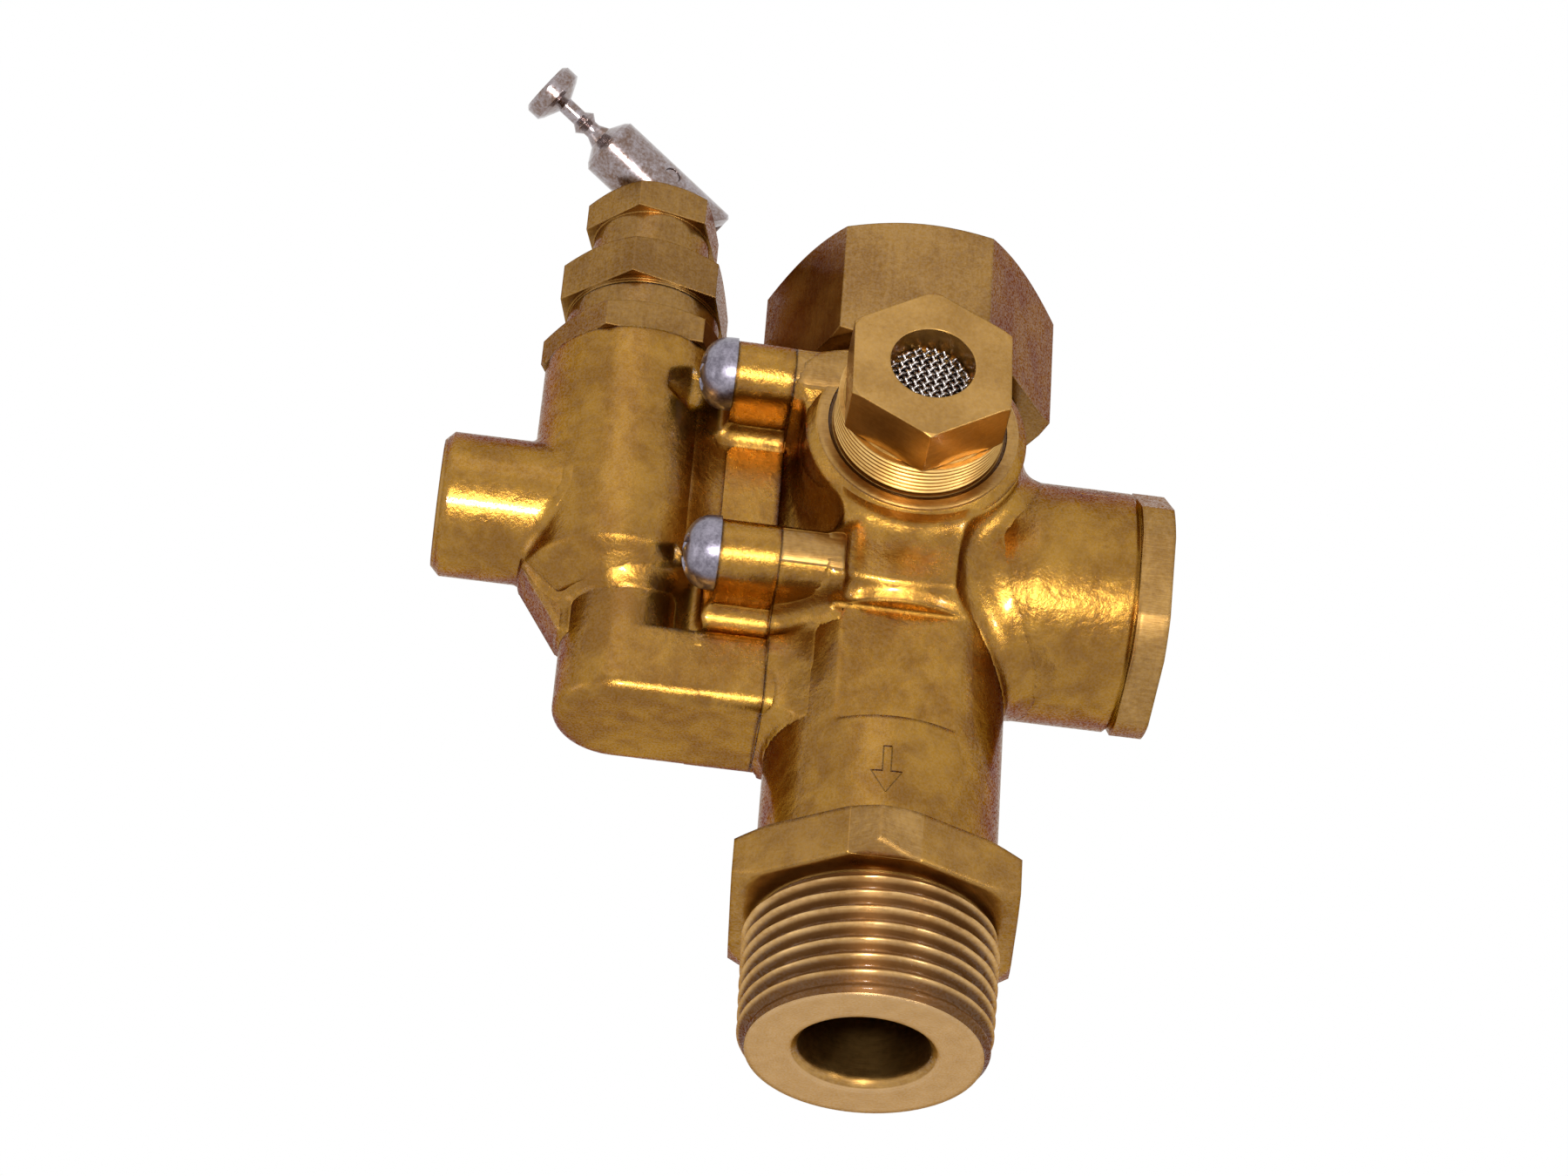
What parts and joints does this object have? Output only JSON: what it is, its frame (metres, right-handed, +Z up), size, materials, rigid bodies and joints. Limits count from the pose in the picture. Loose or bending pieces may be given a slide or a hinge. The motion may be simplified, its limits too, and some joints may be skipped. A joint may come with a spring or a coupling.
{
  "type": "idler control valve",
  "caption": "Brass compressor check valve with a screened unloading vent and a bolted, sprung pilot valve worked by a toggle lever.",
  "frame": {"origin": "centre of the outlet's end face", "axes": "+Z up the main bore from the outlet to the cap, -Y out of the vent plug, +X out of the inlet, -X towards the pilot valve"},
  "size_m": [0.0788, 0.0432, 0.1206],
  "materials": {
    "forged_brass": "satin forged skin",
    "machined_brass": "turned",
    "zinc_steel": "zinc plated",
    "polished_steel": "polished",
    "spring_steel": "drawn wire",
    "screen_wire": "woven wire",
    "seal_rubber": "matt",
    "valve_disc": "matt",
    "gasket": "matt fibre"
  },
  "bodies": {
    "housing": {"main_body": "forged_brass", "pilot_body": "forged_brass", "top_cap": "machined_brass", "cap_gasket": "gasket", "guide_bush": "machined_brass", "vent_seat": "machined_brass", "unloader_spring": "spring_steel", "check_seat": "machined_brass", "check_spring": "spring_steel", "check_retainer": "machined_brass", "vent_plug": "machined_brass", "vent_screen": "screen_wire", "port_seals": "seal_rubber", "pilot_screws": "zinc_steel", "bonnet": "machined_brass", "lock_nut": "machined_brass", "adjusting_screw": "machined_brass", "stem_seal": "seal_rubber", "upper_spring_seat": "machined_brass", "range_spring": "spring_steel", "pilot_seat": "machined_brass"},
    "unloader": {"unloader_piston": "machined_brass", "piston_seal": "seal_rubber", "unloader_stem": "polished_steel", "unloader_poppet": "seal_rubber"},
    "check": {"check_disc": "valve_disc"},
    "stem": {"pilot_stem": "polished_steel", "lower_spring_seat": "machined_brass", "pilot_poppet": "seal_rubber"},
    "lever": {"toggle_lever": "polished_steel", "lever_pin": "polished_steel"}
  },
  "joints": [
    {"name": "stem_lift", "type": "slide", "parent": "housing", "child": "stem", "axis": [0, 0, 1], "range_m": [0, 0.004], "stiffness_N_per_m": 800, "springref_m": -0.004, "deforming": ["range_spring"]},
    {"name": "lever_swing", "type": "hinge", "parent": "stem", "child": "lever", "pos_m": [-0.0301, 0, 0.1097], "axis": [-0.4067, 0.9135, 0], "range_deg": [0, 62.7]},
    {"name": "unloader_drop", "type": "slide", "parent": "housing", "child": "unloader", "axis": [0, 0, -1], "range_m": [0, 0.0025], "stiffness_N_per_m": 500, "springref_m": -0.004, "deforming": ["unloader_spring"]},
    {"name": "check_drop", "type": "slide", "parent": "housing", "child": "check", "axis": [0, 0, -1], "range_m": [0, 0.0035], "stiffness_N_per_m": 150, "springref_m": -0.004, "deforming": ["check_spring"]}
  ],
  "couplings": [
    {"joint": "lever_swing", "follows": "stem_lift", "rad_per_m": 273.22}
  ]
}
